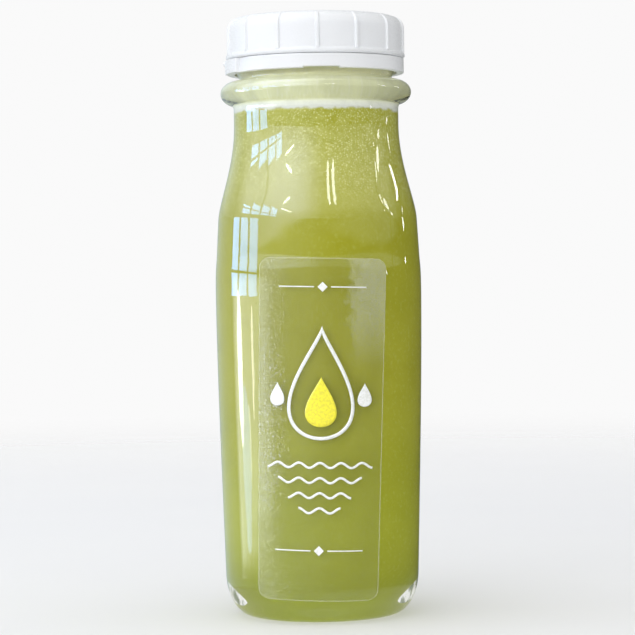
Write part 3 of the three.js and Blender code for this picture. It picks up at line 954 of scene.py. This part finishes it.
def make_floor():
    bpy.ops.mesh.primitive_circle_add(vertices=STAGE_SIDES, radius=STAGE_RADIUS, fill_type="NGON",
                                      location=(0, 0, -STAGE_DROP))
    floor = bpy.context.object
    floor.name = "floor"
    floor.data.materials.append(floor_material())


def mirrored_room(nodes, way, axes):
    """A dim room with a bright ceiling, both lighter on the left, a beam, and a glow low on the left."""
    low = nodes.mix(nodes.range(axes["X"], -0.6, 0.4), *ROOM_LOW)
    high = nodes.mix(nodes.range(axes["X"], -0.5, 0.2), *ROOM_HIGH)
    high = nodes.mix(nodes.range(axes["X"], -1.0, -0.7, 0.45, 0.0), high, low)
    high = nodes.mix(nodes.range(axes["Y"], 0.0, 0.5, 0.0, 0.92), high, low)
    sag = nodes.math("MULTIPLY", nodes.math("POWER", axes["X"], 2.0), ARCH)
    arch = nodes.math("ADD", axes["Z"], sag)
    edge = nodes.range(arch, 0.138, 0.155, 0.0, 0.5)
    step = nodes.math("ADD", edge, nodes.range(arch, 0.155, 0.5, 0.0, 0.5))
    across = nodes.add("ShaderNodeVectorMath", {0: way, 1: BEAM}, operation="DOT_PRODUCT")
    off_beam = nodes.math("ABSOLUTE", across.outputs["Value"])
    step = nodes.math("MULTIPLY", step, nodes.range(off_beam, 0.006, 0.022, 0.5, 1.0))
    room = nodes.mix(step, low, high)
    glow = nodes.range(axes["X"], -0.93, -0.78, 1.0, 0.0)
    glow = nodes.math("MULTIPLY", glow, nodes.range(axes["Y"], 0.28, 0.4, 1.0, 0.0))
    glow = nodes.math("MULTIPLY", glow, nodes.range(axes["Z"], 0.01, 0.06, 1.0, 0.0))
    glow = nodes.math("MULTIPLY", glow, nodes.range(axes["Z"], -0.165, -0.14))
    return nodes.mix(glow, room, LEFT_GLOW)


def seen_through_glass(nodes, way, axes):
    """The white ground, with dark folds far out to the sides."""
    folds = nodes.add("ShaderNodeTexNoise", {"Vector": way, "Scale": 7.0, "Detail": 3.0}).outputs["Fac"]
    sides = nodes.mix(nodes.range(folds, 0.42, 0.56), SIDES, GROUND)
    far_out = nodes.range(nodes.math("ABSOLUTE", axes["X"]), 0.45, 0.75)
    return nodes.mix(far_out, GROUND, sides)


def make_world():
    """A white ground, soft light that is stronger from above, and a room for the glass to mirror."""
    world = bpy.data.worlds.new("soft_room")
    bpy.context.scene.world = world
    world.use_nodes = True
    nodes = Nodes(world.node_tree, "ShaderNodeOutputWorld")
    way = nodes.add("ShaderNodeTexCoord").outputs["Generated"]
    axes = nodes.axes(way)
    path = nodes.add("ShaderNodeLightPath").outputs
    light = nodes.mix(nodes.range(axes["Z"], 0.05, 0.45), *AMBIENT)
    light = nodes.mix(path["Is Glossy Ray"], light, mirrored_room(nodes, way, axes))
    light = nodes.mix(path["Is Transmission Ray"], light, seen_through_glass(nodes, way, axes))
    light = nodes.mix(path["Is Camera Ray"], light, GROUND)
    nodes.finish(nodes.add("ShaderNodeBackground", {"Color": light}).outputs[0])


def lamp(name, place, target, size, radiance, colour=(1, 1, 1), lights=True, shows=True,
         shape="RECTANGLE"):
    """A flat lamp of an even brightness that lights matt surfaces, shows in reflections, or both."""
    data = bpy.data.lights.new(name, "AREA")
    data.shape = shape
    data.size, data.size_y = size
    data.energy = radiance * math.pi * size[0] * size[1]
    data.color = colour
    light = bpy.data.objects.new(name, data)
    bpy.context.scene.collection.objects.link(light)
    light.location = place
    light.rotation_euler = (Vector(target) - Vector(place)).to_track_quat("-Z", "Y").to_euler()
    light.visible_camera = False
    light.visible_diffuse = lights
    light.visible_glossy = shows
    light.visible_transmission = False
    return light


def towards(angle, elevation):
    """A place round the bottle, by its angle from the front and its elevation, in degrees."""
    a, e = math.radians(angle), math.radians(elevation)
    level = STREAK_DISTANCE * math.cos(e)
    return (level * math.sin(a), -level * math.cos(a), MIDDLE[2] + STREAK_DISTANCE * math.sin(e))


def make_soft_lights():
    """Large lamps from above, in front and on the left."""
    for soft in SOFT_LAMPS:
        lamp(target=MIDDLE, **soft)


def wall_lamp(name, near, far, low, high, radiance, colour, shape="RECTANGLE"):
    """A lamp in the wall on the left, between two places along it and two heights, for reflections."""
    y, z = (near + far) / 2, (low + high) / 2
    size = (far - near, high - low)
    lamp(name, (LEFT_WALL, y, z), (0, y, z), size, radiance, colour, lights=False, shape=shape)


def make_windows():
    """Windows in the wall on the left, each with two rows of panes of sky, and a bright door."""
    for w, window in enumerate(WINDOWS):
        pitch = (window["far"] - window["near"]) / window["columns"]
        tops = np.linspace(window["near_top"], window["far_top"], window["columns"])
        low_top = window["rail"] - MULLION / 3
        for column, top in enumerate(tops):
            near = window["near"] + pitch * column
            far = near + pitch - MULLION
            wall_lamp(f"pane_{w}_{column}_low", near, far, window["sill"], low_top, PANE, SKY)
            wall_lamp(f"pane_{w}_{column}_high", near, far, window["rail"], top, PANE, SKY)
    for i, part in enumerate(DOOR_PARTS):
        wall_lamp(f"door_{i}", shape="ELLIPSE", **part)


def make_streaks():
    """Thin lamps that make the streaks on the glass."""
    for i, streak in enumerate(STREAKS):
        start, end = (Vector(towards(*streak[key])) for key in ("start", "end"))
        size = (streak["width"], (end - start).length)
        light = lamp(f"streak_{i}", (start + end) / 2, MIDDLE, size, streak["radiance"],
                     lights=False, shape="ELLIPSE")
        along = light.rotation_euler.to_matrix().inverted() @ (end - start)
        light.rotation_euler.rotate_axis("Z", math.atan2(-along.x, along.y))


def make_camera():
    data = bpy.data.cameras.new("camera")
    data.sensor_width = SENSOR
    focal_pixels = PIXELS_PER_MM * VIEW_DISTANCE
    data.lens = focal_pixels / FRAME_PIXELS * SENSOR
    data.clip_start = 0.01
    data.clip_end = 50
    camera = bpy.data.objects.new("camera", data)
    bpy.context.scene.collection.objects.link(camera)
    pitch = math.atan((FRAME_PIXELS / 2 - HORIZON_ROW) / focal_pixels)
    side = (FRAME_PIXELS / 2 - AXIS_COLUMN) / PIXELS_PER_MM
    camera.matrix_world = (Matrix.Translation((side * MM, -VIEW_DISTANCE * MM, EYE_HEIGHT * MM))
                           @ Matrix.Rotation(math.pi / 2 - pitch, 4, "X")
                           @ Matrix.Rotation(math.radians(ROLL), 4, "Z"))
    bpy.context.scene.camera = camera


def dress(piece, materials, body, node):
    for material in materials:
        piece.data.materials.append(material)
    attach(piece, body)
    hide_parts(node)


make_camera()
make_floor()
make_world()
make_soft_lights()
make_windows()
make_streaks()
bpy.context.scene.view_settings.view_transform = "Standard"

white_plastic = plastic_material()
white_ink = ink_material("white_ink", (0.78, 0.8, 0.76), (0.9, 0.91, 0.9))
yellow_ink = ink_material("yellow_ink", (0.8, 0.72, 0.06), (0.92, 0.84, 0.05))
dress(make_glass(), [glass_material()], "bottle", "glass_bottle")
dress(make_juice(), [juice_material()], "bottle", "juice")
dress(make_foam(), [foam_material()], "bottle", "juice")
dress(make_label(), [film_material()], "bottle", "label")
dress(make_print(), [white_ink, yellow_ink], "bottle", "label")
dress(make_band(), [white_plastic], "bottle", "tear_band")
dress(make_liner(), [liner_material()], "liner", "seal_liner")
dress(make_cap(), [white_plastic], "cap", "cap_shell")
